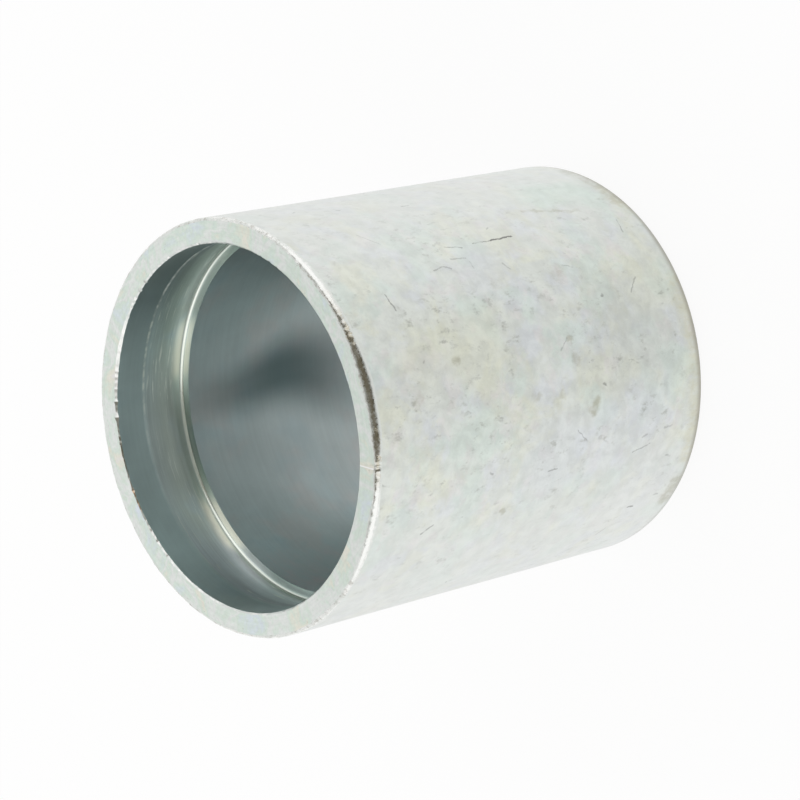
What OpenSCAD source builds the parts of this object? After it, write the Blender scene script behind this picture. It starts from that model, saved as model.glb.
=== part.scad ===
// Crimp ferrule for hydraulic hose: one turned steel sleeve.
// It stands on its lip end, with its axis along +Z and the mouth for the hose at the top.

/* [Sleeve] */
// Length from the lip end to the mouth
sleeve_l = 30.7; // [20:0.1:45]
// Diameter of the bore that takes the hose
bore_d = 24.6; // [20:0.1:40]
// Thickness of the wall around the bore
wall_t = 1.7; // [1.3:0.05:4]

/* [Grip groove] */
// Plain stretch of bore between the mouth and the groove
land_l = 2.4; // [0.8:0.1:8]
// Length of the groove, from the land to the square shoulder
groove_l = 4; // [2:0.1:8]
// Depth of the groove at the foot of the shoulder
groove_h = 0.7; // [0.5:0.05:0.9]
// Radius that the tool's nose leaves at the foot of the shoulder
root_r = 0.3; // [0.1:0.05:0.4]

/* [Lip] */
// Thickness of the lip that locks on the fitting
lip_t = 3; // [1.5:0.1:6]
// Diameter of the hole for the fitting's stem
stem_hole_d = 17.5; // [10:0.1:18.5]
// Radius in the corner between the bore and the lip
corner_r = 0.6; // [0.2:0.1:1.2]
// Edge break at both ends of the stem hole
hole_break = 0.3; // [0.1:0.05:0.6]

/* [Outer edges] */
// Width of the edge break on the mouth's rim, across the rim
rim_break_w = 0.4; // [0.1:0.05:0.5]
// Depth of the edge break on the mouth's rim, along the axis
rim_break_h = 0.25; // [0.1:0.05:0.8]
// Radius of the outer edge at the lip end
heel_r = 0.5; // [0.2:0.1:1.2]

/* [Hidden] */

bore_r = bore_d / 2;
outer_r = bore_r + wall_t;
stem_hole_r = stem_hole_d / 2;
groove_r = bore_r + groove_h;
shoulder_z = sleeve_l - land_l - groove_l;

// Overlap of each cut beyond the face that it opens
cut_over = 1;
// Segments around the axis and around each edge radius
turn_fn = 180;
edge_fn = 48;

// Square corner less its quarter round, reaching past both faces; it points along +X and +Y
module round_corner_cut(r) {
  difference() {
    square(r + cut_over);
    circle(r, $fn = edge_fn);
  }
}

// Outer outline of the turned blank, with its rim break and round heel
module blank_section() {
  difference() {
    square([outer_r, sleeve_l]);
    translate([outer_r, sleeve_l])
      polygon([[-rim_break_w, 0], [0, -rim_break_h], [cut_over, -rim_break_h], [cut_over, cut_over],
               [-rim_break_w, cut_over]]);
    translate([outer_r - heel_r, heel_r])
      mirror([0, 1])
        round_corner_cut(heel_r);
  }
}

// Hose bore down to the lip, with a radius in its corner
module bore_section() {
  difference() {
    translate([0, lip_t])
      square([bore_r, sleeve_l - lip_t + cut_over]);
    translate([bore_r - corner_r, lip_t + corner_r])
      mirror([0, 1])
        round_corner_cut(corner_r);
  }
}

// Saw-tooth groove: a taper out from the land, the nose radius, then the square shoulder back to the bore
module grip_groove_section() {
  difference() {
    polygon([[bore_r - cut_over, sleeve_l - land_l], [bore_r, sleeve_l - land_l],
             [groove_r, shoulder_z + root_r], [groove_r, shoulder_z], [bore_r - cut_over, shoulder_z]]);
    translate([groove_r - root_r, shoulder_z + root_r])
      mirror([0, 1])
        round_corner_cut(root_r);
  }
}

// Stem hole through the lip, with an edge break at both ends
module stem_hole_section() {
  translate([0, -cut_over])
    square([stem_hole_r, lip_t + 2 * cut_over]);
  polygon([[0, 0], [stem_hole_r + hole_break, 0], [stem_hole_r, hole_break], [0, hole_break]]);
  polygon([[0, lip_t], [stem_hole_r + hole_break, lip_t], [stem_hole_r, lip_t - hole_break],
           [0, lip_t - hole_break]]);
}

module ferrule_sleeve() {
  color("gainsboro")
    rotate_extrude($fn = turn_fn)
      difference() {
        blank_section();
        bore_section();
        grip_groove_section();
        stem_hole_section();
      }
}

ferrule_sleeve();
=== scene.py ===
import math

import bpy
import numpy as np
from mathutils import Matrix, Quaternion, Vector


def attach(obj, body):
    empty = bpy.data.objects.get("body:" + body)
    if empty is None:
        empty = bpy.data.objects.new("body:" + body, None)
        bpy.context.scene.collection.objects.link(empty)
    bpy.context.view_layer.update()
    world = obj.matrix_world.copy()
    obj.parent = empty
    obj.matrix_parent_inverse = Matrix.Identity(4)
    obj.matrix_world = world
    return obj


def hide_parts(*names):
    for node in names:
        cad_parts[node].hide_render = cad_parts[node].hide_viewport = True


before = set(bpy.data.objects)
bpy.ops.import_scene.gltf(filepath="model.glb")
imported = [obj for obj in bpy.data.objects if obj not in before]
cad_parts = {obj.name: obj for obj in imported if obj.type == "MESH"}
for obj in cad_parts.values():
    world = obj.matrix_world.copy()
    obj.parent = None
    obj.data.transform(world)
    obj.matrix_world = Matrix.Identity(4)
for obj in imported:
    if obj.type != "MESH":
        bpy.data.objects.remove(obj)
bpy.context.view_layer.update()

mm = 0.001
fullTurn = 2.0 * math.pi
scene = bpy.context.scene
scene.view_settings.view_transform = "Standard"

# The sleeve stands on its lip end, mouth up. Sizes are in mm and repeat the CAD source,
# apart from rimRadius, which rounds what is a plain edge break there.
sleeve = dict(
    around=900,  # stations round the axis
    length=30.7,
    outerRadius=14.0,
    boreRadius=12.3,
    landLength=2.4,  # plain bore between the mouth and the groove
    grooveLength=4.0,
    grooveDepth=0.7,
    rootRadius=0.3,
    lipThickness=3.0,
    stemHoleRadius=8.75,
    cornerRadius=0.6,
    holeBreak=0.3,
    rimRadius=0.35,
    heelRadius=0.5,
    hardEdge=24.0,  # degrees; sharper edges are not shaded smooth
)

# Wear that is real shape, in mm. Angles are degrees from the front, counted towards +X.
# A spot is its angle, spread and how much it adds. Waves are the fewest and the most round the ring.
edgeWear = dict(
    seed=11,
    # rim's outer edge, as shares of rimRadius
    edgeShare=0.6,
    edgeSpots=[(5, 11, 1.05), (-10, 6, 0.6), (36, 12, 0.65), (-34, 11, 0.65), (20, 6, 0.35), (-20, 4, 0.4)],
    edgeWander=0.012,  # how far it strays, in slow waves and in fine ones
    slowWaves=(8, 40),
    fineWaves=(40, 170),
    fineShare=0.7,
    fineSpots=[(20, 2.5, 0.9), (-22, 2.5, 1.0), (-36, 9, 0.9), (34, 8, 0.4)],
    nickAngle=-17.8,
    nickDepth=0.10,
    nickWide=0.5,
    nickLip=0.01,  # metal pushed up on both sides of the nick
    lipAside=1.2,
    lipWide=0.6,
    # break on the mouth's inner edge; behind is the share in front, what is added, and from where to where
    mouthBreak=0.10,
    leastBreak=0.02,
    breakDown=0.9,  # its depth along the axis for a width of 1
    breakBehind=(0.35, 0.65, 50, 85),
    widerSpots=[(149, 14, 0.8)],
    narrowerSpots=[(186, 16, -0.45)],
    breakWander=0.1,
    breakWaves=(10, 70),
    # chips out of that edge, small ones in groups and a few larger notches
    biteDepth=0.02,
    biteDown=0.8,
    biteBehind=(0.2, 0.6, 80, 110),
    biteSpots=[(95, 36, 2.2)],
    biteWaves=(40, 200),
    groupWaves=(6, 40),
    groupShares=(0.4, 0.7),
    notches=[  # angle, depth and half width in degrees
        (163.3, 0.10, 0.5), (168.4, 0.09, 0.9), (176.9, 0.06, 0.5), (179.2, 0.05, 1.2),
        (187.5, 0.05, 0.5), (192.0, 0.07, 0.7),
    ],
    # torn metal left standing on it
    burrRise=0.012,
    burrWide=0.07,
    burrBehind=(0.2, 0.8, 60, 100),
    burrWaves=(30, 160),
    # saw-cut unevenness of the rim face, and a drawn tube's outside, which is not quite round
    rimWave=0.006,
    rimWaves=(3, 60),
    collar=1.2,  # below the mouth, where the rolled edge has run out
    outsideWave=0.005,
    outsideNear=0.01,
    outsideWaves=(2, 9),
    waveAlong=(0.6, 0.4, 3.1),  # its level, swing and pitch along the axis
    waveFoot=(0.6, 3.0),  # heights between which it sets in, and fades out
    waveHead=(29.4, 27.0),
)


def smoothStep(low, high, x):
    # cubic ease from 0 at low to 1 at high
    t = np.clip((x - low) / (high - low), 0.0, 1.0)
    return t * t * (3.0 - 2.0 * t)


def eased(share, added, low, high, x):
    # share up to low, then growing to share plus added at high
    return share + added * smoothStep(low, high, x)


def bell(x, middle, spread):
    # 1 at the middle, falling off evenly on both sides
    return np.exp(-(((x - middle) / spread) ** 2))


def withSpots(base, x, spots):
    # base plus a bell at each spot
    for middle, spread, added in spots:
        base = base + added * bell(x, middle, spread)
    return base


def ringNoise(angle, seed, lowest, highest, count=48):
    # sum of cosines with whole numbers of waves round the ring, so the two ends meet; its spread is about 1
    rng = np.random.default_rng(seed)
    turns = rng.integers(lowest, highest + 1, count)[:, None]
    phase = rng.uniform(0.0, fullTurn, count)[:, None]
    return np.cos(turns * angle[None, :] + phase).sum(axis=0) * math.sqrt(2.0 / count)


def ring(r, z, around):
    # one edge of the section carried round the axis: radius and height at each station
    return np.stack([np.broadcast_to(r, around), np.broadcast_to(z, around)])


def ruled(start, end, count, crowd=0.0):
    # rings from one edge towards the next, the last left out; crowd packs them towards both edges
    t = np.arange(count) / count
    t = (t - crowd * np.sin(fullTurn * t) / fullTurn)[:, None, None]
    return start[None] * (1.0 - t) + end[None] * t


def cornerRound(centre, radius, fromDeg, toDeg, count, around):
    # rings on a quarter circle about centre, the last left out; centre and radius may stray with the angle
    t = np.radians(fromDeg + (toDeg - fromDeg) * np.arange(count) / count)[:, None]
    r = np.broadcast_to(centre[0] + radius * np.cos(t), (count, around))
    z = np.broadcast_to(centre[1] + radius * np.sin(t), (count, around))
    return np.stack([r, z], axis=1)


def sleeveSurface(s, w):
    # turned surface: each edge of the wall's section is a ring whose radius and height stray with the angle,
    # and the wall is ruled from ring to ring, from the mouth's edge out, down, in and up the bore again
    n = s["around"]
    angle = fullTurn * np.arange(n) / n
    front = np.degrees(np.arctan2(np.cos(angle), -np.sin(angle)))  # 0 at the front, + towards +X
    turn, back = front % 360.0, np.abs(front)
    top, out, bore = s["length"], s["outerRadius"], s["boreRadius"]
    groove, landEnd = bore + s["grooveDepth"], top - s["landLength"]
    shoulder = landEnd - s["grooveLength"]
    root, heel, corner = s["rootRadius"], s["heelRadius"], s["cornerRadius"]
    lip, hole, chamfer = s["lipThickness"], s["stemHoleRadius"], s["holeBreak"]

    def waves(which, kind):
        return ringNoise(angle, w["seed"] + which, *w[kind])

    def at(r, z):
        return ring(r, z, n)

    # rim's outer edge: roundest in front, rougher at a few spots, with one nick
    edge = s["rimRadius"] * withSpots(w["edgeShare"], front, w["edgeSpots"])
    fine = withSpots(w["fineShare"], front, w["fineSpots"])
    edge = edge + w["edgeWander"] * (waves(0, "slowWaves") + fine * waves(1, "fineWaves"))
    dent = w["nickDepth"] * bell(front, w["nickAngle"], w["nickWide"])
    lips = bell(front, w["nickAngle"] - w["lipAside"], w["lipWide"])
    lips = w["nickLip"] * (lips + bell(front, w["nickAngle"] + w["lipAside"], w["lipWide"]))
    edgeR, edgeZ = out - edge - dent, top - edge - dent

    # mouth's inner edge: a small break, chips and torn burrs
    few, more = w["groupShares"]
    bites = np.maximum(waves(2, "biteWaves"), 0.0) * (few + more * np.abs(waves(7, "groupWaves")))
    chipped = withSpots(eased(*w["biteBehind"], back), front, w["biteSpots"])
    notched = sum(depth * bell(turn, middle, half) for middle, depth, half in w["notches"])
    broken = withSpots(withSpots(1.0, front, w["widerSpots"]), turn, w["narrowerSpots"])
    broken = broken + w["breakWander"] * waves(5, "breakWaves")
    mouth = w["mouthBreak"] * broken * eased(*w["breakBehind"], back)
    mouthIn = bore + np.maximum(mouth, w["leastBreak"]) + w["biteDepth"] * chipped * bites + notched
    mouthLow = top - np.maximum(w["breakDown"] * mouth, w["leastBreak"])
    mouthLow = mouthLow - w["biteDown"] * w["biteDepth"] * chipped * bites - w["biteDown"] * notched
    burr = w["burrRise"] * np.maximum(waves(6, "burrWaves"), 0.0) * eased(*w["burrBehind"], back)
    flat = top - w["rimWave"] * np.abs(waves(3, "rimWaves"))
    edgeZ = edgeZ + flat - top
    burrOut, collar = mouthIn + w["burrWide"], top - w["collar"]

    # each step: its finish, and its rings, with how many there are
    steps = [
        ("rim", ruled(at(mouthIn, flat + burr), at(burrOut, flat), 2)),
        ("rim", ruled(at(burrOut, flat), at(edgeR, edgeZ + edge + lips), 8, 0.6)),
        ("break", cornerRound((edgeR, edgeZ), edge + lips, 90, 0, 9, n)),
        ("outside", ruled(at(edgeR + edge, edgeZ), at(out, collar), 4, -0.3)),
        ("outside", ruled(at(out, collar), at(out, heel), 20, 0.3)),
        ("outside", cornerRound((out - heel, heel), heel, 0, -90, 8, n)),
        ("outside", ruled(at(out - heel, 0), at(hole + chamfer, 0), 4)),
        ("inside", ruled(at(hole + chamfer, 0), at(hole, chamfer), 2)),
        ("inside", ruled(at(hole, chamfer), at(hole, lip - chamfer), 3)),
        ("inside", ruled(at(hole, lip - chamfer), at(hole + chamfer, lip), 2)),
        ("inside", ruled(at(hole + chamfer, lip), at(bore - corner, lip), 4)),
        ("inside", cornerRound((bore - corner, lip + corner), corner, -90, 0, 7, n)),
        ("inside", ruled(at(bore, lip + corner), at(bore, shoulder), 10, 0.5)),
        ("inside", ruled(at(bore, shoulder), at(groove - root, shoulder), 3, 0.3)),
        ("inside", cornerRound((groove - root, shoulder + root), root, -90, 0, 7, n)),
        ("inside", ruled(at(groove, shoulder + root), at(bore, landEnd), 7, 0.6)),
        ("inside", ruled(at(bore, landEnd), at(bore, mouthLow), 6, 0.6)),
        ("mouth", ruled(at(bore, mouthLow), at(mouthIn, flat + burr), 3)),
    ]
    wall = np.concatenate([rings for _, rings in steps])
    finish = [name for name, rings in steps for _ in range(len(rings))]
    r, z = wall[:, 0], wall[:, 1]

    # the outside's waves, between the heel and the rolled edge
    onOutside = np.abs(r - out) < w["outsideNear"]
    onOutside = onOutside * smoothStep(*w["waveFoot"], z) * smoothStep(*w["waveHead"], z)
    level, swing, pitch = w["waveAlong"]
    wave = w["outsideWave"] * onOutside * np.abs(waves(4, "outsideWaves"))
    r = r - wave * (level + swing * np.cos(z / pitch))
    return np.stack([r * np.cos(angle), r * np.sin(angle), z], axis=2) * mm, finish


def gridMesh(name, points, faceSlots, hardEdge):
    # quads between neighbouring rows and columns; the last row and column close onto the first
    rows, cols = points.shape[:2]
    here = np.arange(rows * cols).reshape(rows, cols)
    nextRow, nextCol = np.roll(here, -1, axis=0), np.roll(here, -1, axis=1)
    both = np.roll(nextRow, -1, axis=1)
    quads = np.stack([here, nextRow, both, nextCol], axis=2).reshape(-1, 4)
    mesh = bpy.data.meshes.new(name)
    mesh.vertices.add(rows * cols)
    mesh.vertices.foreach_set("co", points.reshape(-1))
    mesh.loops.add(quads.size)
    mesh.loops.foreach_set("vertex_index", quads.reshape(-1).astype(np.int32))
    mesh.polygons.add(len(quads))
    mesh.polygons.foreach_set("loop_start", np.arange(0, quads.size, 4, dtype=np.int32))
    mesh.polygons.foreach_set("material_index", np.repeat(np.asarray(faceSlots, dtype=np.int32), cols))
    mesh.update(calc_edges=True)
    mesh.shade_smooth()
    mesh.set_sharp_from_angle(angle=math.radians(hardEdge))
    # volume by the pyramids from the origin to each face
    corner = points.reshape(-1, 3)[quads]
    twice = np.cross(corner[:, 1], corner[:, 2]) + np.cross(corner[:, 2], corner[:, 3])
    volume = np.einsum("ij,ij->i", corner[:, 0], twice).sum() / 6.0
    print("mesh", name, len(quads) * 2, "triangles, volume", round(volume / mm**3, 1), "mm3")
    return mesh


# Short words for building node trees
def addNode(tree, kind, inputs=None, **settings):
    node = tree.nodes.new(kind)
    for key, value in settings.items():
        setattr(node, key, value)
    for key, value in (inputs or {}).items():
        if isinstance(value, bpy.types.NodeSocket):
            tree.links.new(value, node.inputs[key])
        else:
            node.inputs[key].default_value = value
    return node


def calc(tree, operation, a, b=0.0, clamp=False):
    return addNode(tree, "ShaderNodeMath", {0: a, 1: b}, operation=operation, use_clamp=clamp).outputs[0]


def times(tree, first, *others):
    for other in others:
        first = calc(tree, "MULTIPLY", first, other)
    return first


def most(tree, a, b):
    return calc(tree, "MAXIMUM", a, b)


def size(tree, value):
    # a value without its sign
    return calc(tree, "ABSOLUTE", value)


def gap(tree, value, middle):
    # how far a value is from the middle, on either side
    return size(tree, calc(tree, "SUBTRACT", value, middle))


def between(tree, share, a, b):
    return addNode(tree, "ShaderNodeMix", {0: share, 2: a, 3: b}, data_type="FLOAT").outputs[0]


def remap(tree, value, low, high, toLow=0.0, toHigh=1.0):
    # toLow up to low, toHigh from high on, and a smooth change between them
    inputs = {"Value": value, "From Min": low, "From Max": high, "To Min": toLow, "To Max": toHigh}
    return addNode(tree, "ShaderNodeMapRange", inputs, interpolation_type="SMOOTHSTEP").outputs[0]


def strip(tree, value, start, full, fade, end, level=1.0):
    # nothing before start and after end, and level from full to fade
    return times(tree, remap(tree, value, start, full), remap(tree, value, fade, end, level, 0.0))


def window(tree, value, middle, half, level=1.0):
    # level about the middle, easing to nothing from half way out to the half width
    return remap(tree, gap(tree, value, middle), 0.5 * half, half, level, 0.0)


def facing(tree, angle, middle, half):
    # a window about an angle, its middle and half width in degrees
    return window(tree, angle, math.radians(middle), math.radians(half))


def vecCalc(tree, operation, a, b, output=0):
    return addNode(tree, "ShaderNodeVectorMath", {0: a, 1: b}, operation=operation).outputs[output]


def vecScale(tree, vector, factor):
    return addNode(tree, "ShaderNodeVectorMath", {0: vector, 3: factor}, operation="SCALE").outputs[0]


def joined(tree, x, y, z=0.0):
    return addNode(tree, "ShaderNodeCombineXYZ", {"X": x, "Y": y, "Z": z}).outputs[0]


def split(tree, vector):
    parts = addNode(tree, "ShaderNodeSeparateXYZ", {0: vector}).outputs
    return parts["X"], parts["Y"], parts["Z"]


def noise(tree, place, scale, detail, roughness, distortion=0.0, offset=None):
    if offset is not None:
        place = vecCalc(tree, "ADD", place, (offset, offset * 0.7, offset * 0.4))
    inputs = {
        "Vector": place, "Scale": scale, "Detail": detail, "Roughness": roughness, "Distortion": distortion,
    }
    return addNode(tree, "ShaderNodeTexNoise", inputs).outputs["Fac"]


def cloudy(tree, place, grain, levels):
    # grain is a noise's scale, detail, roughness, distortion and offset;
    # levels are where it is remapped from and to, and the values there
    return remap(tree, noise(tree, place, *grain), *levels)


def blend(tree, factor, a, b, kind="MIX"):
    a, b = [(*c, 1.0) if isinstance(c, tuple) else c for c in (a, b)]
    inputs = {0: factor, 6: a, 7: b}
    return addNode(tree, "ShaderNodeMix", inputs, data_type="RGBA", blend_type=kind).outputs[2]


def grey(tree, level):
    return addNode(tree, "ShaderNodeCombineColor", {0: level, 1: level, 2: level}).outputs[0]


def shade(tree, colour, tone):
    # colour times a tone that is the same in all three channels
    return blend(tree, 1.0, colour, grey(tree, tone), "MULTIPLY")


def ramp(tree, value, stops):
    node = addNode(tree, "ShaderNodeValToRGB", {"Fac": value})
    band = node.color_ramp
    while len(band.elements) < len(stops):
        band.elements.new(0.5)
    for element, (position, colour) in zip(band.elements, stops):
        element.position = position
        element.color = (*colour, 1.0)
    return node.outputs["Color"]


def sleevePlaces(tree):
    # place in mm, angles from the front and from the back in radians, both + towards +X, radius, height,
    # and the outside unrolled flat, round its heel too
    place = vecScale(tree, addNode(tree, "ShaderNodeTexCoord").outputs["Object"], 1.0 / mm)
    x, y, z = split(tree, place)
    angle = calc(tree, "ARCTAN2", x, times(tree, y, -1.0))
    radius = vecCalc(tree, "LENGTH", joined(tree, x, y), (0.0, 0.0, 0.0), "Value")
    run = calc(tree, "ADD", z, calc(tree, "SUBTRACT", radius, sleeve["outerRadius"]))
    unrolled = joined(tree, times(tree, angle, sleeve["outerRadius"]), run)
    fromBack = calc(tree, "ARCTAN2", x, y)
    return dict(
        place=place, x=x, y=y, height=z, radius=radius, angle=angle, fromBack=fromBack, unrolled=unrolled,
    )


def stretched(tree, where, around, across, along):
    # place with its scales round, across and along the part set apart, for marks that a lathe leaves
    run = calc(tree, "ADD", times(tree, where["height"], along), times(tree, where["radius"], across))
    return joined(tree, times(tree, where["x"], around), times(tree, where["y"], around), run)


def wobbled(tree, where, scale, reach):
    # the unrolled outside pushed about by noise, so that what is drawn on it loses its straight edges
    inputs = {"Vector": where["place"], "Scale": scale, "Detail": 3.0, "Roughness": 0.6}
    push = addNode(tree, "ShaderNodeTexNoise", inputs).outputs["Color"]
    push = vecScale(tree, vecCalc(tree, "SUBTRACT", push, (0.5, 0.5, 0.5)), reach)
    return vecCalc(tree, "MULTIPLY", vecCalc(tree, "ADD", where["unrolled"], push), (1.0, 1.0, 0.0))


def newFinish(name):
    material = bpy.data.materials.new(name)
    material.use_nodes = True
    tree = material.node_tree
    tree.nodes.clear()
    shader = addNode(tree, "ShaderNodeBsdfPrincipled", {"Metallic": 1.0})
    addNode(tree, "ShaderNodeOutputMaterial", {"Surface": shader.outputs[0]})
    return material, tree, shader


def bumped(tree, shader, height, depth):
    # height 0 to 1 raised by depth in mm
    bump = addNode(tree, "ShaderNodeBump", {"Height": height, "Strength": 1.0, "Distance": depth * mm})
    tree.links.new(bump.outputs[0], shader.inputs["Normal"])


def markGroup():
    # distance from a place to the straight line between two ends, turned into a soft-edged mark
    group = bpy.data.node_groups.new("lineMark", "ShaderNodeTree")
    for kind, words in (("Vector", ("Place", "From", "To")), ("Float", ("Width", "Dark", "Others"))):
        for word in words:
            group.interface.new_socket(word, in_out="INPUT", socket_type="NodeSocket" + kind)
    group.interface.new_socket("Marks", in_out="OUTPUT", socket_type="NodeSocketFloat")
    given = group.nodes.new("NodeGroupInput").outputs
    toPlace = vecCalc(group, "SUBTRACT", given["Place"], given["From"])
    toEnd = vecCalc(group, "SUBTRACT", given["To"], given["From"])
    along = vecCalc(group, "DOT_PRODUCT", toPlace, toEnd, "Value")
    whole = vecCalc(group, "DOT_PRODUCT", toEnd, toEnd, "Value")
    nearest = vecScale(group, toEnd, calc(group, "DIVIDE", along, whole, clamp=True))
    away = vecCalc(group, "DISTANCE", toPlace, nearest, "Value")
    mark = remap(group, calc(group, "DIVIDE", away, given["Width"]), 0.25, 1.0, 1.0, 0.0)
    marks = most(group, given["Others"], times(group, mark, given["Dark"]))
    group.links.new(marks, group.nodes.new("NodeGroupOutput").inputs["Marks"])
    return group


def drawMarks(tree, group, where, marks):
    # each mark: angle from the front, height, run round and run along in mm, half width in mm, how dark
    drawn = 0.0
    for angle, height, around, along, width, dark in marks:
        start = (math.radians(angle) * sleeve["outerRadius"], height, 0.0)
        end = (start[0] + around, height + along, 0.0)
        inputs = {"Place": where, "From": start, "To": end, "Width": width, "Dark": dark, "Others": drawn}
        drawn = addNode(tree, "ShaderNodeGroup", inputs, node_tree=group).outputs["Marks"]
    return drawn


def dashes(tree, unrolled, scale, half, width, share, offset, lean):
    # one short dash in a share of the cells of a scattered grid, turned from the axis by lean at most
    shifted = vecCalc(tree, "ADD", unrolled, (offset, offset, 0.0))
    inputs = {"Vector": shifted, "Scale": scale}
    cell = addNode(tree, "ShaderNodeTexVoronoi", inputs, voronoi_dimensions="2D", feature="F1").outputs
    chance = addNode(tree, "ShaderNodeSeparateColor", {0: cell["Color"]}).outputs
    local = vecCalc(tree, "SUBTRACT", shifted, cell["Position"])
    turn = times(tree, calc(tree, "SUBTRACT", chance[0], 0.5), 2.0 * lean)
    inputs = {"Vector": local, "Angle": turn}
    x, y, _ = split(tree, addNode(tree, "ShaderNodeVectorRotate", inputs, rotation_type="Z_AXIS").outputs[0])
    thin = remap(tree, size(tree, x), 0.3 * width, width, 1.0, 0.0)
    pastEnd = calc(tree, "SUBTRACT", size(tree, y), times(tree, chance[1], half))
    ends = remap(tree, pastEnd, -0.12, 0.02, 1.0, 0.0)
    return times(tree, thin, ends, calc(tree, "LESS_THAN", chance[2], share))


# Outside of the sleeve. Marks are as drawMarks takes them, grains and levels as cloudy does.
plate = dict(
    pale=(0.764, 0.796, 0.752),
    blue=(0.750, 0.782, 0.808),
    cream=(0.785, 0.800, 0.668),
    mint=(0.715, 0.800, 0.745),
    pink=(0.800, 0.772, 0.765),
    # pale of the painted light on both sides and in one painted light patch
    litPale=(0.805, 0.825, 0.810),
    # grey of the painted shade patches
    paintedShading=(0.610, 0.640, 0.610),
    dirt=(0.40, 0.41, 0.37),
    grime=(0.69, 0.66, 0.47),
    stainAndDarkReflection=(0.42, 0.41, 0.30),
    scratch=(0.17, 0.17, 0.16),
    # colour of the painted shade on the heel
    heel=(0.39, 0.375, 0.31),
    tints=[
        ("blue", (0.36, 4, 0.55), (0.47, 0.63, 0.0, 0.76)),
        ("cream", (0.30, 4, 0.56, 0.4, 31.0), (0.49, 0.65, 0.0, 0.62)),
        ("mint", (0.28, 4, 0.56, 0.0, 57.0), (0.50, 0.65, 0.0, 0.70)),
        ("pink", (0.60, 4, 0.55, 0.0, 83.0), (0.53, 0.69, 0.0, 0.52)),
    ],
    sides=(0.25, 1.20, 1.7, 2.6),  # radians from the front where the sides set in and run out
    sideLit=0.62,  # how much paler the painted light leaves them
    sideCalm=0.66,  # and how much less mottled
    sideSpecks=0.1,
    # painted shade at the back: where it sets in, and its tone
    backTurn=(1.5, 2.2),
    backShade=0.83,
    mottleGrain=(0.9, 5, 0.66, 0.3),
    mottle=(0.28, 0.72, 0.90, 1.06),
    clumpGrain=(0.32, 4, 0.62, 0.4, 12.0),
    clumps=(0.44, 0.66, 0.12, 1.0),
    poreStretch=(1.0, 0.6, 0.6),
    poreGrain=(2.0, 4, 0.68),
    specks=(0.52, 0.72, 0.0, 0.70),
    bloomDrift=(0.3, 5.0),  # scale and reach of the wobble of what is drawn
    bloomsAndShading=dict(  # broad soft patches of one tint each; the grey ones are painted shade and the pale one is painted light
        paintedShading=[(8.0, 6.4, -2.6, 0.0, 5.0, 0.42), (-6.0, 11.0, 0.4, -2.0, 3.0, 0.20)],
        cream=[(6.0, 25.0, 0.4, -4.5, 3.6, 0.45), (14.0, 4.0, 1.0, -1.0, 3.0, 0.35)],
        blue=[(-27.0, 15.0, 1.2, -9.0, 4.0, 0.50), (27.0, 18.0, 0.6, -1.0, 2.6, 0.50)],
        litPale=[(-38.0, 3.6, -2.5, 2.0, 4.0, 0.60)],
        mint=[(54.0, 6.4, -1.0, -3.4, 2.4, 0.70)],
    ),
    smudgeDrift=(1.3, 0.9),
    patchy=(0.35, 0.60, 0.35, 1.0),
    smudges=dict(  # tan film beside the heel, and olive stains
        grime=[(14.0, 0.7, -12.40, 0.00, 1.25, 0.42), (50.0, 0.6, -2.00, 0.00, 1.20, 0.30)],
        stainAndDarkReflection=[
            (-1.8, 12.2, 0.20, 0.10, 0.50, 0.40), (-16.0, 11.0, 0.50, -0.20, 0.60, 0.55),
            (-10.0, 13.8, 0.10, 0.10, 0.45, 0.36), (4.8, 12.4, -0.10, 0.20, 0.36, 0.50),
            (22.6, 11.3, 0.40, -0.50, 0.80, 0.26), (5.0, 22.9, 0.10, -0.30, 0.42, 0.45),
            (-3.6, 26.8, 0.20, -0.20, 0.60, 0.32), (-40.4, 18.7, 0.10, -0.10, 0.30, 0.40),
            (47.4, 9.7, -1.00, -4.80, 0.22, 0.34), (-9.0, 16.5, 0.10, -0.40, 0.40, 0.30),
            (-46.0, 1.0, -1.60, 0.15, 0.85, 0.46), (66.0, 0.7, -5.00, 0.00, 1.10, 0.30),
        ],
    ),
    scratchDrift=(2.6, 0.30),
    skips=(0.34, 0.54, 0.25, 1.0),
    dashes=dict(scale=0.34, half=0.6, width=0.09, share=0.14, offset=40.0, lean=0.95),
    dashDark=0.30,
    scratches=[
        (38.0, 16.4, 0.00, -1.8, 0.07, 0.60), (38.0, 14.7, 0.05, -2.0, 0.11, 0.90),
        (38.6, 18.9, -0.35, -1.4, 0.06, 0.55), (34.0, 19.2, -0.15, -1.3, 0.07, 0.32),
        (31.2, 21.2, 0.20, -0.9, 0.08, 0.42), (32.0, 20.2, -0.25, -0.5, 0.08, 0.36),
        (26.6, 26.3, -1.20, -0.2, 0.08, 0.55), (49.0, 24.6, -1.30, -1.0, 0.06, 0.22),
        (37.2, 2.6, -1.10, 0.3, 0.07, 0.42), (18.0, 4.3, -1.00, 1.0, 0.07, 0.40),
        (-31.4, 6.8, 0.40, -1.7, 0.06, 0.38), (-30.8, 15.0, 0.05, -0.8, 0.08, 0.50),
        (-52.0, 5.0, -0.05, -0.6, 0.09, 0.62), (-63.0, 6.4, 0.70, -0.5, 0.06, 0.34),
        (-40.8, 26.0, 0.55, -1.0, 0.07, 0.50), (-20.6, 12.6, -0.90, -1.0, 0.06, 0.38),
        (2.0, 13.4, 0.70, -0.8, 0.08, 0.34), (32.0, 17.8, -0.50, 0.0, 0.09, 0.30),
        (14.4, 8.1, 0.10, -0.1, 0.16, 0.50), (-9.4, 10.0, -0.10, -0.2, 0.13, 0.50),
        (-26.8, 20.6, -0.15, -0.2, 0.13, 0.40),
    ],
    heelHeights=(0.32, 0.85, 1.0, 0.0),
    heelFront=(0.10, 1.40, 0.76),  # middle and half width in radians, and how dark the heel is there
    heelElsewhere=0.4,
    roughGrain=(1.4, 4, 0.6),
    roughness=(0.3, 0.7, 0.34, 0.46),
    skinGrain=(4.0, 3, 0.6),
    raised=0.006,
)


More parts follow.
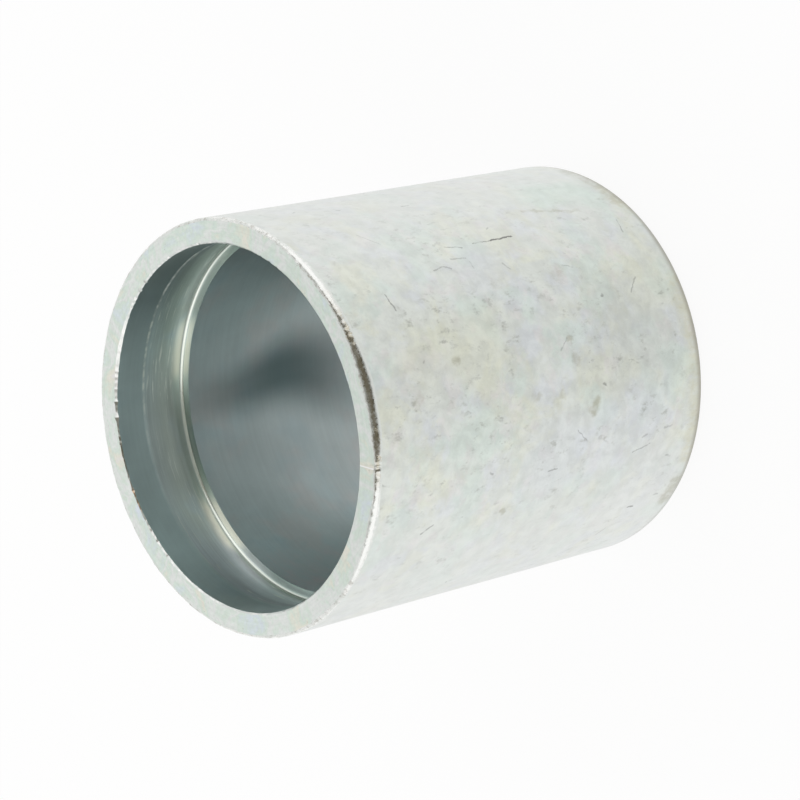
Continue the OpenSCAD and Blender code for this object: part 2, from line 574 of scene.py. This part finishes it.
def outerPlate(group):
    material, tree, shader = newFinish("outerPlate")
    where = sleevePlaces(tree)
    place = where["place"]
    colour = plate["pale"]
    for tint, grain, levels in plate["tints"]:
        colour = blend(tree, cloudy(tree, place, grain, levels), colour, plate[tint])
    # painted light: paler and less tinted on both sides; painted shade: a little greyer at the back
    turned = size(tree, where["angle"])
    aside = strip(tree, turned, *plate["sides"])
    colour = blend(tree, times(tree, aside, plate["sideLit"]), colour, plate["litPale"])
    drifting = wobbled(tree, where, *plate["bloomDrift"])
    # tint patches, with painted shade and painted light patches among them
    for tint, marks in plate["bloomsAndShading"].items():
        colour = blend(tree, drawMarks(tree, group, drifting, marks), colour, plate[tint])
    colour = shade(tree, colour, remap(tree, turned, *plate["backTurn"], 1.0, plate["backShade"]))
    # mottle, and grey specks in loose clumps
    calm = times(tree, aside, plate["sideCalm"])
    mottle = cloudy(tree, place, plate["mottleGrain"], plate["mottle"])
    colour = shade(tree, colour, between(tree, calm, mottle, 1.0))
    clumps = cloudy(tree, place, plate["clumpGrain"], plate["clumps"])
    pores = noise(tree, stretched(tree, where, *plate["poreStretch"]), *plate["poreGrain"])
    specks = remap(tree, pores, *plate["specks"])
    specks = times(tree, specks, between(tree, calm, clumps, plate["sideSpecks"]))
    colour = blend(tree, specks, colour, plate["dirt"])
    # tan film beside the heel and olive stains, with ragged edges
    ragged = wobbled(tree, where, *plate["smudgeDrift"])
    patchy = remap(tree, pores, *plate["patchy"])
    for tint, marks in plate["smudges"].items():
        smudge = times(tree, drawMarks(tree, group, ragged, marks), patchy)
        colour = blend(tree, smudge, colour, plate[tint])
    # scratches: a few drawn ones and short dashes scattered all round, broken up as the skin skips
    skipped = wobbled(tree, where, *plate["scratchDrift"])
    short = times(tree, dashes(tree, skipped, **plate["dashes"]), plate["dashDark"])
    scored = most(tree, drawMarks(tree, group, skipped, plate["scratches"]), short)
    scored = times(tree, scored, remap(tree, pores, *plate["skips"]))
    colour = blend(tree, scored, colour, plate["scratch"])
    # painted shade on the heel, darkest in front
    heelShade = most(tree, window(tree, where["angle"], *plate["heelFront"]), plate["heelElsewhere"])
    heelShade = times(tree, remap(tree, where["height"], *plate["heelHeights"]), heelShade)
    colour = blend(tree, heelShade, colour, plate["heel"])
    tree.links.new(colour, shader.inputs["Base Color"])
    rough = cloudy(tree, place, plate["roughGrain"], plate["roughness"])
    tree.links.new(rough, shader.inputs["Roughness"])
    bumped(tree, shader, noise(tree, place, *plate["skinGrain"]), plate["raised"])
    return material


# Flat face of the rim
rimLook = dict(
    green=(0.700, 0.790, 0.715),
    blue=(0.725, 0.785, 0.850),
    straw=(0.810, 0.800, 0.705),
    pale=(0.800, 0.820, 0.800),
    pink=(0.805, 0.788, 0.790),
    dirt=(0.38, 0.36, 0.28),
    bare=(0.97, 0.97, 0.96),
    tintGrain=(0.30, 4, 0.6, 0.5, 5.0),
    tints=[(0.31, "blue"), (0.42, "green"), (0.49, "pale"), (0.56, "green"), (0.63, "straw"), (0.71, "pink")],
    cutStretch=(0.5, 7.0, 0.0),  # marks of the cut, which run round
    cutGrain=(1.0, 4, 0.65),
    cutTone=(0.3, 0.7, 0.965, 1.025),
    fineGrain=(4.0, 4, 0.65),
    fineTone=(0.25, 0.75, 0.95, 1.04),
    frontTone=(0.3, 1.7, 0.965, 1.055),  # a little darker in front, lighter behind
    speckGrain=(3.0, 5, 0.72, 0.5, 21.0),
    specks=(0.62, 0.74, 0.0, 0.55),
    scoreAngle=-18.6,  # one bright score across the rim, its half width in mm
    scoreHalf=0.06,
    scoreRadius=13.0,
    scoreDepth=0.7,
    roughness=0.34,
    raised=0.008,
)


def rimFace():
    material, tree, shader = newFinish("rimFace")
    where = sleevePlaces(tree)
    place = where["place"]
    stops = [(level, rimLook[tint]) for level, tint in rimLook["tints"]]
    colour = ramp(tree, noise(tree, place, *rimLook["tintGrain"]), stops)
    cutMarks = noise(tree, stretched(tree, where, *rimLook["cutStretch"]), *rimLook["cutGrain"])
    grain = cloudy(tree, place, rimLook["fineGrain"], rimLook["fineTone"])
    frontTone = remap(tree, size(tree, where["angle"]), *rimLook["frontTone"])
    colour = shade(tree, colour, times(tree, grain, remap(tree, cutMarks, *rimLook["cutTone"]), frontTone))
    specks = cloudy(tree, place, rimLook["speckGrain"], rimLook["specks"])
    colour = blend(tree, specks, colour, rimLook["dirt"])
    half = rimLook["scoreHalf"]
    middle = math.radians(rimLook["scoreAngle"])
    aside = times(tree, gap(tree, where["angle"], middle), rimLook["scoreRadius"])
    score = remap(tree, aside, 0.3 * half, half, 1.0, 0.0)
    colour = blend(tree, score, colour, rimLook["bare"])
    tree.links.new(colour, shader.inputs["Base Color"])
    shader.inputs["Roughness"].default_value = rimLook["roughness"]
    height = calc(tree, "SUBTRACT", cutMarks, times(tree, score, rimLook["scoreDepth"]))
    bumped(tree, shader, height, rimLook["raised"])
    return material


# Rolled outer edge of the rim. Tilts are radians up from straight outwards.
edgeLook = dict(
    plain=(0.775, 0.805, 0.770),
    bright=(0.90, 0.905, 0.88),
    brown=(0.58, 0.545, 0.44),
    dirt=(0.42, 0.40, 0.35),
    raggedGrain=(4.0, 5, 0.7),
    ragged=(0.25, 0.75, -0.48, 0.48),
    rubbed=(0.10, 0.45, 1.15, 1.45),  # tilts where the burnish sets in and runs out
    wornGrain=(0.9, 4, 0.7, 0.0, 13.0),
    brokenUp=(0.40, 0.62),
    behind=(0.75, 0.95),  # angle where the back begins, with a broken burnish and dark ticks
    tickGrain=(2.6, 5, 0.75, 0.0, 37.0),
    ticks=(0.50, 0.64, 0.0, 0.6),
    brownAngle=3.0,  # browned in front
    brownHalf=32.0,
    brownGrain=(1.2, 6, 0.72, 0.5),
    browned=(0.36, 0.62),
    dirtTilt=(1.25, 1.45),  # a line of dirt along the rim side
    dirtGrain=(2.2, 4, 0.7, 0.0, 29.0),
    dirty=(0.44, 0.64, 0.0, 0.7),
    dirtAngle=(-0.40, -0.30, 0.4, 1.0),
    roughness=0.17,
    dullness=0.36,
    dragStretch=(0.4, 6.0, 6.0),
    dragGrain=(1.0, 5, 0.7),
    pitGrain=(5.0, 3, 0.6, 0.0, 17.0),
    raised=0.012,
)


def rolledEdge():
    material, tree, shader = newFinish("rolledEdge")
    where = sleevePlaces(tree)
    place, angle = where["place"], where["angle"]
    edge = sleeve["rimRadius"]
    up = calc(tree, "SUBTRACT", where["height"], sleeve["length"] - edge)
    out = calc(tree, "SUBTRACT", where["radius"], sleeve["outerRadius"] - edge)
    tilt = calc(tree, "ARCTAN2", up, out)
    ragged = calc(tree, "ADD", tilt, cloudy(tree, place, edgeLook["raggedGrain"], edgeLook["ragged"]))
    # burnished in the middle of the radius, plain plate towards the faces on both sides
    behind = remap(tree, size(tree, angle), *edgeLook["behind"])
    brokenUp = cloudy(tree, place, edgeLook["wornGrain"], edgeLook["brokenUp"])
    rubbed = times(tree, strip(tree, ragged, *edgeLook["rubbed"]), between(tree, behind, 1.0, brokenUp))
    tarnish = cloudy(tree, place, edgeLook["brownGrain"], edgeLook["browned"])
    tarnish = times(tree, tarnish, facing(tree, angle, edgeLook["brownAngle"], edgeLook["brownHalf"]))
    bright = blend(tree, tarnish, edgeLook["bright"], edgeLook["brown"])
    colour = blend(tree, rubbed, edgeLook["plain"], bright)
    dirty = remap(tree, ragged, *edgeLook["dirtTilt"])
    dirty = times(tree, dirty, cloudy(tree, place, edgeLook["dirtGrain"], edgeLook["dirty"]))
    dirty = times(tree, dirty, remap(tree, angle, *edgeLook["dirtAngle"]))
    ticks = times(tree, behind, cloudy(tree, place, edgeLook["tickGrain"], edgeLook["ticks"]))
    colour = blend(tree, most(tree, dirty, ticks), colour, edgeLook["dirt"])
    tree.links.new(colour, shader.inputs["Base Color"])
    rough = between(tree, rubbed, edgeLook["dullness"], edgeLook["roughness"])
    tree.links.new(rough, shader.inputs["Roughness"])
    drag = noise(tree, stretched(tree, where, *edgeLook["dragStretch"]), *edgeLook["dragGrain"])
    pits = noise(tree, place, *edgeLook["pitGrain"])
    bumped(tree, shader, calc(tree, "ADD", drag, pits), edgeLook["raised"])
    return material


# Small break on the mouth's inner edge. Angles are degrees from the front.
mouthLook = dict(
    plain=(0.735, 0.770, 0.735),
    bright=(0.95, 0.95, 0.92),
    rust=(0.62, 0.36, 0.15),
    dirt=(0.36, 0.34, 0.27),
    glintAngle=149.0,
    glintHalf=17.0,
    glintGrain=(2.4, 4, 0.7, 0.0, 3.0),
    glint=(0.40, 0.52, 0.3, 1.0),
    spotGrain=(1.6, 4, 0.65),
    spots=(0.48, 0.60, 0.0, 0.8),
    rustAngle=-165.5,
    rustHalf=6.5,
    rustGrain=(1.6, 4, 0.7, 0.0, 8.0),
    rusty=(0.44, 0.60, 0.0, 0.7),
    dirtFrom=172.0,  # from there to the very back
    dirtFull=176.0,
    dirtDark=0.8,
    dirtGrain=(1.8, 4, 0.7, 0.0, 15.0),
    dirty=(0.40, 0.54, 0.2, 1.0),
    roughness=0.28,
    tornGrain=(5.0, 3, 0.6),
    raised=0.008,
)


def mouthEdge():
    material, tree, shader = newFinish("mouthEdge")
    where = sleevePlaces(tree)
    place, angle = where["place"], where["angle"]
    glint = facing(tree, angle, mouthLook["glintAngle"], mouthLook["glintHalf"])
    glint = times(tree, glint, cloudy(tree, place, mouthLook["glintGrain"], mouthLook["glint"]))
    spots = cloudy(tree, place, mouthLook["spotGrain"], mouthLook["spots"])
    colour = blend(tree, most(tree, glint, spots), mouthLook["plain"], mouthLook["bright"])
    start, full = math.radians(mouthLook["dirtFrom"]), math.radians(mouthLook["dirtFull"])
    dirty = remap(tree, size(tree, angle), start, full, 0.0, mouthLook["dirtDark"])
    dirty = times(tree, dirty, cloudy(tree, place, mouthLook["dirtGrain"], mouthLook["dirty"]))
    colour = blend(tree, dirty, colour, mouthLook["dirt"])
    rusty = facing(tree, angle, mouthLook["rustAngle"], mouthLook["rustHalf"])
    rusty = times(tree, rusty, cloudy(tree, place, mouthLook["rustGrain"], mouthLook["rusty"]))
    colour = blend(tree, rusty, colour, mouthLook["rust"])
    tree.links.new(colour, shader.inputs["Base Color"])
    shader.inputs["Roughness"].default_value = mouthLook["roughness"]
    bumped(tree, shader, noise(tree, place, *mouthLook["tornGrain"]), mouthLook["raised"])
    return material


# Inside of the sleeve: land, groove with its taper and shoulder, bore, lip and hole.
# Angles are radians from the back, + towards +X, if not said otherwise. Heights are mm above the shoulder,
# or above the land's end where the name says land.
boreLook = dict(
    bore=(0.615, 0.692, 0.690),
    taper=(0.585, 0.672, 0.608),
    land=(0.580, 0.680, 0.670),
    pink=(0.675, 0.670, 0.658),
    blue=(0.555, 0.675, 0.700),
    steel=(0.590, 0.645, 0.662),
    # dark of the painted reflection down the back of the bore
    stainAndDarkReflection=(0.073, 0.118, 0.120),
    teal=(0.70, 0.79, 0.74),
    cream=(0.98, 0.95, 0.80),
    ledge=(0.93, 0.95, 0.94),
    edge=(0.90, 0.945, 0.86),
    zoneStart=-0.3,
    boreTo=-0.1,
    taperFrom=0.05,
    taperToLand=-1.9,
    landFrom=0.1,
    streakStretch=(0.12, 0.0, 3.5),  # turning marks all over, and coarser ones in the taper
    streakGrain=(1.0, 4, 0.65),
    streaks=(0.3, 0.7, 0.975, 1.02),
    cloudGrain=(0.25, 4, 0.60),
    clouds=(0.3, 0.7, 0.95, 1.05),
    coarseStretch=(0.22, 0.0, 6.5),
    coarseGrain=(1.0, 4, 0.7, 0.0, 33.0),
    coarse=(0.3, 0.7, 0.93, 1.06),
    inTaper=(0.2, 0.6),
    inTaperLand=(-0.4, -0.1, 1.0, 0.0),
    inBore=(-0.1, 0.1, 1.0, 0.0),
    onLand=(-0.3, 0.1),
    nearLand=(-1.8, -0.9),
    nearFoot=(0.5, 1.3, 1.0, 0.0),
    inFront=(1.5, 2.4),
    paintedShading=dict(  # how bright the painted light and shade leave each stretch: from one angle to another, and the tones there
        footMiddle=(0.0, 0.30, 0.88, 1.28),
        footSides=(0.58, 0.75, 1.0, 0.60),
        taperMiddle=(0.15, 0.60, 0.62, 1.04),
        taperLeft=(-0.6, -0.1, 1.28, 1.0),
        taperSides=(0.6, 1.05, 1.0, 0.77),
        landRight=(0.45, 1.0, 1.02, 0.76),
        landLeft=(-0.65, -0.2, 1.25, 0.95),
        grooveLeft=(-1.25, -0.8, 0.84, 1.0),
        boreLeft=(-1.05, -0.12, 1.53, 0.895),
        boreRight=(0.35, 0.90, 0.895, 1.03),
    ),
    deepBore=(11.0, 18.0, 0.84, 1.0),  # painted shade deep in the bore, by height above the lip end
    steelLeft=(-0.75, -0.35, 0.9, 0.0),
    pinkGrain=(0.20, 3, 0.6, 0.0, 44.0),
    pinkBloom=(0.48, 0.66, 0.0, 0.6),
    blueGrain=(0.20, 3, 0.6, 0.0, 71.0),
    blueBloom=(0.50, 0.68, 0.0, 0.5),
    bandDark=0.86,  # the long painted dark reflection: depth below the mouth and half length in mm, angles in degrees
    bandDepth=15.6,
    bandLong=(0.5, 11.5),
    bandAngle=16.3,
    bandLead=-4.0,  # how far its ends are turned from its middle, and from what distance
    bandLeadBy=6.0,
    bandNarrow=10.0,
    bandWide=24.0,
    bandWideAt=9.0,
    bandSoft=0.1,
    lineWidth=(0.03, 0.17, 1.0, 0.0),  # painted highlight where the land ends
    lineGrain=(1.7, 4, 0.65),
    lineBreaks=(0.38, 0.60, 0.2, 1.0),
    lineRight=(-0.1, 0.5, 0.15, 1.0),
    lineFront=0.6,
    lineWhite=(0.45, 1.0, 0.0, 0.7),  # white on the right, not metal there
    lineWhiteEnd=(1.7, 2.2, 1.0, 0.0),
    ringStretch=(0.38, 0.0, 4.6),  # thin bright rings in the taper
    ringGrain=(1.0, 3, 0.6, 0.0, 9.0),
    rings=(0.58, 0.68),
    ringSides=(0.15, 0.45, 0.18, 0.85),
    footing=(0.02, 0.07, 0.20, 0.28),  # painted highlight in the groove's corner
    footingSides=(0.05, 0.35, 0.95, 1.0),
    footingLeft=(-0.9, -0.6, 0.6, 1.0),
    footingFront=0.8,
    foot=(0.20, 0.28, 0.55, 1.3, 0.95),  # painted light along the taper's foot
    footMiddle=(0.20, 0.42, 1.0, 0.0),
    footMattHighlight=0.35,
    mattHighlight=(0.12, 0.34, 0.95, 0.0),
    glintAngle=29.0,  # degrees on both sides of the back
    glintHalf=12.0,
    glint=(0.1, 0.2, 0.5, 1.4),
    glintRings=(0.0, 0.6, 0.75, 1.0),
    ledgeStrip=(-0.04, -0.01, 0.02, 0.05),  # the shoulder, with a painted highlight on both sides
    ledgeLeft=(-0.62, 0.40),
    ledgeRight=(0.75, 0.60, 0.45),
    roughness=0.44,
    grooveRoughness=0.24,  # the shoulder and the groove's corner
    keenAbove=(0.08, 0.24),
    keenBelow=(-0.06, -0.01),
    raised=0.004,
)


def innerPlate():
    material, tree, shader = newFinish("innerPlate")
    where = sleevePlaces(tree)
    look, paintedShading = boreLook, boreLook["paintedShading"]
    place, height, fromBack = where["place"], where["height"], where["fromBack"]
    spread = size(tree, fromBack)
    top, landEnd = sleeve["length"], sleeve["length"] - sleeve["landLength"]
    shoulder = landEnd - sleeve["grooveLength"]
    overShoulder = calc(tree, "SUBTRACT", height, shoulder)
    overLand = calc(tree, "SUBTRACT", height, landEnd)

    def fine(stretch, grain):
        return noise(tree, stretched(tree, where, *look[stretch]), *look[grain])

    # base colour of each zone, by height
    low = shoulder + look["zoneStart"]
    inputs = {"Value": height, "From Min": low, "From Max": top}
    byHeight = addNode(tree, "ShaderNodeMapRange", inputs).outputs[0]
    stops = [
        (shoulder + look["boreTo"], "bore"), (shoulder + look["taperFrom"], "taper"),
        (landEnd + look["taperToLand"], "taper"), (landEnd + look["landFrom"], "land"),
    ]
    zone = ramp(tree, byHeight, [((stop - low) / (top - low), look[name]) for stop, name in stops])
    inTaper = remap(tree, overShoulder, *look["inTaper"])
    inTaper = times(tree, inTaper, remap(tree, overLand, *look["inTaperLand"]))
    inBore = remap(tree, overShoulder, *look["inBore"])
    inFront = remap(tree, spread, *look["inFront"])
    # turning marks
    streak = fine("streakStretch", "streakGrain")
    tone = remap(tree, streak, *look["streaks"])
    tone = times(tree, tone, cloudy(tree, place, look["cloudGrain"], look["clouds"]))
    coarse = remap(tree, fine("coarseStretch", "coarseGrain"), *look["coarse"])
    tone = times(tree, tone, between(tree, inTaper, 1.0, coarse))
    # painted shade and light: darker on the taper at the back and on the bore in the middle, lighter towards
    # the sides, and darker deep in the bore
    atFoot = remap(tree, spread, *paintedShading["footMiddle"])
    atFoot = times(tree, atFoot, remap(tree, spread, *paintedShading["footSides"]))
    onTaper = remap(tree, spread, *paintedShading["taperMiddle"])
    onTaper = times(tree, onTaper, remap(tree, fromBack, *paintedShading["taperLeft"]))
    nearLand = remap(tree, overLand, *look["nearLand"])
    onTaper = times(tree, onTaper, between(tree, nearLand, 1.0, remap(tree, spread, *paintedShading["taperSides"])))
    onLand = remap(tree, fromBack, *paintedShading["landRight"])
    onLand = times(tree, onLand, remap(tree, fromBack, *paintedShading["landLeft"]))
    inGroove = between(tree, remap(tree, overShoulder, *look["nearFoot"]), onTaper, atFoot)
    litAndShaded = between(tree, remap(tree, overLand, *look["onLand"]), inGroove, onLand)
    litAndShaded = times(tree, litAndShaded, remap(tree, fromBack, *paintedShading["grooveLeft"]))
    sides = most(tree, remap(tree, fromBack, *paintedShading["boreLeft"]), remap(tree, fromBack, *paintedShading["boreRight"]))
    sides = times(tree, sides, remap(tree, height, *look["deepBore"]))
    litAndShaded = between(tree, inBore, litAndShaded, sides)
    # pink and blue bloom of the plating, under that painted shading
    steely = times(tree, inTaper, remap(tree, fromBack, *look["steelLeft"]))
    colour = blend(tree, steely, zone, look["steel"])
    pinkBloom = times(tree, inBore, cloudy(tree, place, look["pinkGrain"], look["pinkBloom"]))
    colour = blend(tree, pinkBloom, colour, look["pink"])
    colour = blend(tree, cloudy(tree, place, look["blueGrain"], look["blueBloom"]), colour, look["blue"])
    colour = shade(tree, colour, times(tree, tone, between(tree, inFront, litAndShaded, 1.0)))
    # long painted dark reflection down the back of the bore, narrow near the shoulder and wider further down
    reach = gap(tree, height, top - look["bandDepth"])
    middle, end = math.radians(look["bandAngle"]), math.radians(look["bandAngle"] + look["bandLead"])
    middle = remap(tree, reach, 0.0, look["bandLeadBy"], middle, end)
    wide, narrow = math.radians(look["bandWide"]), math.radians(look["bandNarrow"])
    half = remap(tree, height, look["bandWideAt"], shoulder, wide, narrow)
    aside = calc(tree, "DIVIDE", gap(tree, fromBack, middle), half)
    band = remap(tree, aside, look["bandSoft"], 1.0, look["bandDark"], 0.0)
    band = times(tree, band, remap(tree, reach, *look["bandLong"], 1.0, 0.0))
    colour = blend(tree, band, colour, look["stainAndDarkReflection"])
    # painted highlights where the land ends and in the groove's corner, and thin bright rings in the taper
    brokenUp = cloudy(tree, place, look["lineGrain"], look["lineBreaks"])
    toRight = remap(tree, fromBack, *look["lineRight"])
    brokenUp = times(tree, brokenUp, between(tree, inFront, toRight, look["lineFront"]))
    line = times(tree, remap(tree, size(tree, overLand), *look["lineWidth"]), brokenUp)
    rings = remap(tree, fine("ringStretch", "ringGrain"), *look["rings"])
    bright = most(tree, line, times(tree, rings, inTaper, remap(tree, spread, *look["ringSides"])))
    footing = strip(tree, overShoulder, *look["footing"])
    footing = times(tree, footing, remap(tree, spread, *look["footingSides"]))
    faint = remap(tree, fromBack, *look["footingLeft"])
    footing = times(tree, footing, between(tree, inFront, faint, look["footingFront"]))
    # painted light along the foot at the back
    foot = strip(tree, overShoulder, *look["foot"])
    foot = times(tree, foot, remap(tree, spread, *look["footMiddle"]))
    colour = blend(tree, foot, colour, look["teal"])
    # painted highlights left partly not metal, so they show white: in the corner, along the foot, and on the
    # line's right part
    mattHighlight = times(tree, footing, remap(tree, spread, *look["mattHighlight"]))
    mattHighlight = most(tree, mattHighlight, times(tree, foot, look["footMattHighlight"]))
    whiteLine = times(tree, line, remap(tree, fromBack, *look["lineWhite"]))
    whiteLine = times(tree, whiteLine, remap(tree, fromBack, *look["lineWhiteEnd"]))
    mattHighlight = most(tree, mattHighlight, whiteLine)
    tree.links.new(calc(tree, "SUBTRACT", 1.0, mattHighlight), shader.inputs["Metallic"])
    # painted highlights on both sides of the back: the taper near its foot, and the shoulder
    glint = facing(tree, spread, look["glintAngle"], look["glintHalf"])
    glint = times(tree, glint, strip(tree, overShoulder, *look["glint"]))
    glint = times(tree, glint, remap(tree, rings, *look["glintRings"]))
    colour = blend(tree, glint, colour, look["cream"])
    lit = most(tree, window(tree, fromBack, *look["ledgeLeft"]), window(tree, fromBack, *look["ledgeRight"]))
    ledge = times(tree, strip(tree, overShoulder, *look["ledgeStrip"]), lit)
    colour = blend(tree, ledge, colour, look["ledge"])
    colour = blend(tree, most(tree, bright, footing), colour, look["edge"])
    tree.links.new(colour, shader.inputs["Base Color"])
    dull, keen = look["roughness"], look["grooveRoughness"]
    above = remap(tree, overShoulder, *look["keenAbove"], keen, dull)
    below = remap(tree, overShoulder, *look["keenBelow"], dull, keen)
    tree.links.new(most(tree, above, below), shader.inputs["Roughness"])
    bumped(tree, shader, streak, look["raised"])
    return material


def buildSleeve():
    points, finish = sleeveSurface(sleeve, edgeWear)
    group = markGroup()
    finishes = {
        "outside": outerPlate(group),
        "rim": rimFace(),
        "inside": innerPlate(),
        "break": rolledEdge(),
        "mouth": mouthEdge(),
    }
    order = list(finishes)
    mesh = gridMesh("turnedSleeve", points, [order.index(f) for f in finish], sleeve["hardEdge"])
    for material in finishes.values():
        mesh.materials.append(material)
    piece = bpy.data.objects.new("turnedSleeve", mesh)
    scene.collection.objects.link(piece)
    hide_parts("ferrule_sleeve")
    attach(piece, "root")


# White floor in a light tent. Turns are radians from the front, + towards +X; openings and lamps are by the
# parts of a direction's unit vector.
studio = dict(
    floorGlow=0.90,  # share of the floor's white that needs no light, as the camera sees it
    floorShine=0.94,  # the same, as the metal shows it
    frontShade=0.15,  # how much greyer the metal shows it in front, where the tent is open
    frontTurn=0.17,
    frontSpread=1.25,
    backShine=0.08,  # how much whiter at the back
    backTurns=(2.2, 2.9),
    floorColour=(0.13, 0.13, 0.13),
    floorReach=3.0,
    floorDrop=0.00002,
    tentWall=0.88,
    tentLamps=1.07,  # on both sides of the camera
    lampsBack=(0.15, 0.40, 1.0, 0.0),
    lampsUp=(0.0, 0.25),
    lampsSoft=0.1,
    openingMiddle=0.050,  # dark opening that the camera looks through: its middle and half width
    openingHalf=0.402,
    openingSoft=(-0.05, 0.07),
    openingBack=(0.20, 0.50, 1.0, 0.0),
    openingColour=(0.165, 0.155, 0.128),
    openingTone=(0.0, 0.7, 0.55, 1.1),  # darker low down
)


def buildFloor():
    reach, drop = studio["floorReach"], -studio["floorDrop"]
    corners = [(-reach, -reach, drop), (reach, -reach, drop), (reach, reach, drop), (-reach, reach, drop)]
    mesh = bpy.data.meshes.new("studioFloor")
    mesh.from_pydata(corners, [], [(0, 1, 2, 3)])
    material = bpy.data.materials.new("floorWhite")
    material.use_nodes = True
    tree = material.node_tree
    tree.nodes.clear()
    path = addNode(tree, "ShaderNodeLightPath").outputs
    mirrored = most(tree, path["Is Glossy Ray"], path["Is Transmission Ray"])
    x, y, _ = split(tree, addNode(tree, "ShaderNodeTexCoord").outputs["Object"])
    turned = calc(tree, "ARCTAN2", x, times(tree, y, -1.0))
    fromGrey = gap(tree, turned, studio["frontTurn"])
    shine = remap(tree, fromGrey, 0.0, studio["frontSpread"], 1.0 - studio["frontShade"], 1.0)
    shine = times(tree, shine, studio["floorShine"])
    atBack = remap(tree, size(tree, turned), *studio["backTurns"], 1.0, 1.0 + studio["backShine"])
    shine = times(tree, shine, atBack)
    seen = times(tree, path["Is Camera Ray"], studio["floorGlow"])
    glowing = most(tree, seen, times(tree, mirrored, shine))
    matt = addNode(tree, "ShaderNodeBsdfDiffuse", {"Color": (*studio["floorColour"], 1.0)})
    glow = addNode(tree, "ShaderNodeEmission", {"Color": (1, 1, 1, 1), "Strength": glowing})
    both = addNode(tree, "ShaderNodeAddShader", {0: matt.outputs[0], 1: glow.outputs[0]})
    addNode(tree, "ShaderNodeOutputMaterial", {"Surface": both.outputs[0]})
    mesh.materials.append(material)
    floor = bpy.data.objects.new("studioFloor", mesh)
    scene.collection.objects.link(floor)


def buildWorld():
    # light tent: bright sides and back, and a dark opening from the front up past the zenith,
    # where the camera looks in
    world = bpy.data.worlds.new("lightTent")
    world.use_nodes = True
    tree = world.node_tree
    tree.nodes.clear()
    x, y, z = split(tree, addNode(tree, "ShaderNodeTexCoord").outputs["Generated"])
    aside = gap(tree, x, studio["openingMiddle"])
    half, soft = studio["openingHalf"], studio["lampsSoft"]
    inner, outer = [half + step for step in studio["openingSoft"]]
    opening = remap(tree, aside, inner, outer, 1.0, 0.0)
    opening = times(tree, opening, remap(tree, y, *studio["openingBack"]))
    lamps = times(tree, remap(tree, y, *studio["lampsBack"]), remap(tree, z, *studio["lampsUp"]))
    lamps = times(tree, lamps, remap(tree, aside, half - soft, half + soft))
    cloth = grey(tree, between(tree, lamps, studio["tentWall"], studio["tentLamps"]))
    room = shade(tree, studio["openingColour"], remap(tree, z, *studio["openingTone"]))
    colour = blend(tree, opening, cloth, room)
    seen = addNode(tree, "ShaderNodeLightPath").outputs["Is Camera Ray"]
    colour = blend(tree, seen, colour, (1.0, 1.0, 1.0))
    light = addNode(tree, "ShaderNodeBackground", {"Color": colour, "Strength": 1.0})
    addNode(tree, "ShaderNodeOutputWorld", {"Surface": light.outputs[0]})
    scene.world = world


# Camera, in mm and degrees; it looks from the front, and its roll lays the sleeve on its side
viewPoint = dict(
    lens=140.28,
    sensor=36.0,
    aim=(-0.449, 0.194, 15.566),
    distance=214.67,
    elevation=41.855,
    roll=102.334,
    clip=(0.01, 50.0),  # m
)


def buildCamera():
    data = bpy.data.cameras.new("viewCamera")
    data.lens, data.sensor_width = viewPoint["lens"], viewPoint["sensor"]
    data.clip_start, data.clip_end = viewPoint["clip"]
    camera = bpy.data.objects.new("viewCamera", data)
    tilt = math.radians(viewPoint["elevation"])
    back = Vector((0.0, -math.cos(tilt), math.sin(tilt)))
    camera.location = (Vector(viewPoint["aim"]) + back * viewPoint["distance"]) * mm
    camera.rotation_mode = "QUATERNION"
    roll = Quaternion((0, 0, 1), -math.radians(viewPoint["roll"]))
    camera.rotation_quaternion = (-back).to_track_quat("-Z", "Y") @ roll
    scene.collection.objects.link(camera)
    scene.camera = camera


buildCamera()
print("camera set")
buildWorld()
buildFloor()
print("studio set")
buildSleeve()
print("sleeve made")
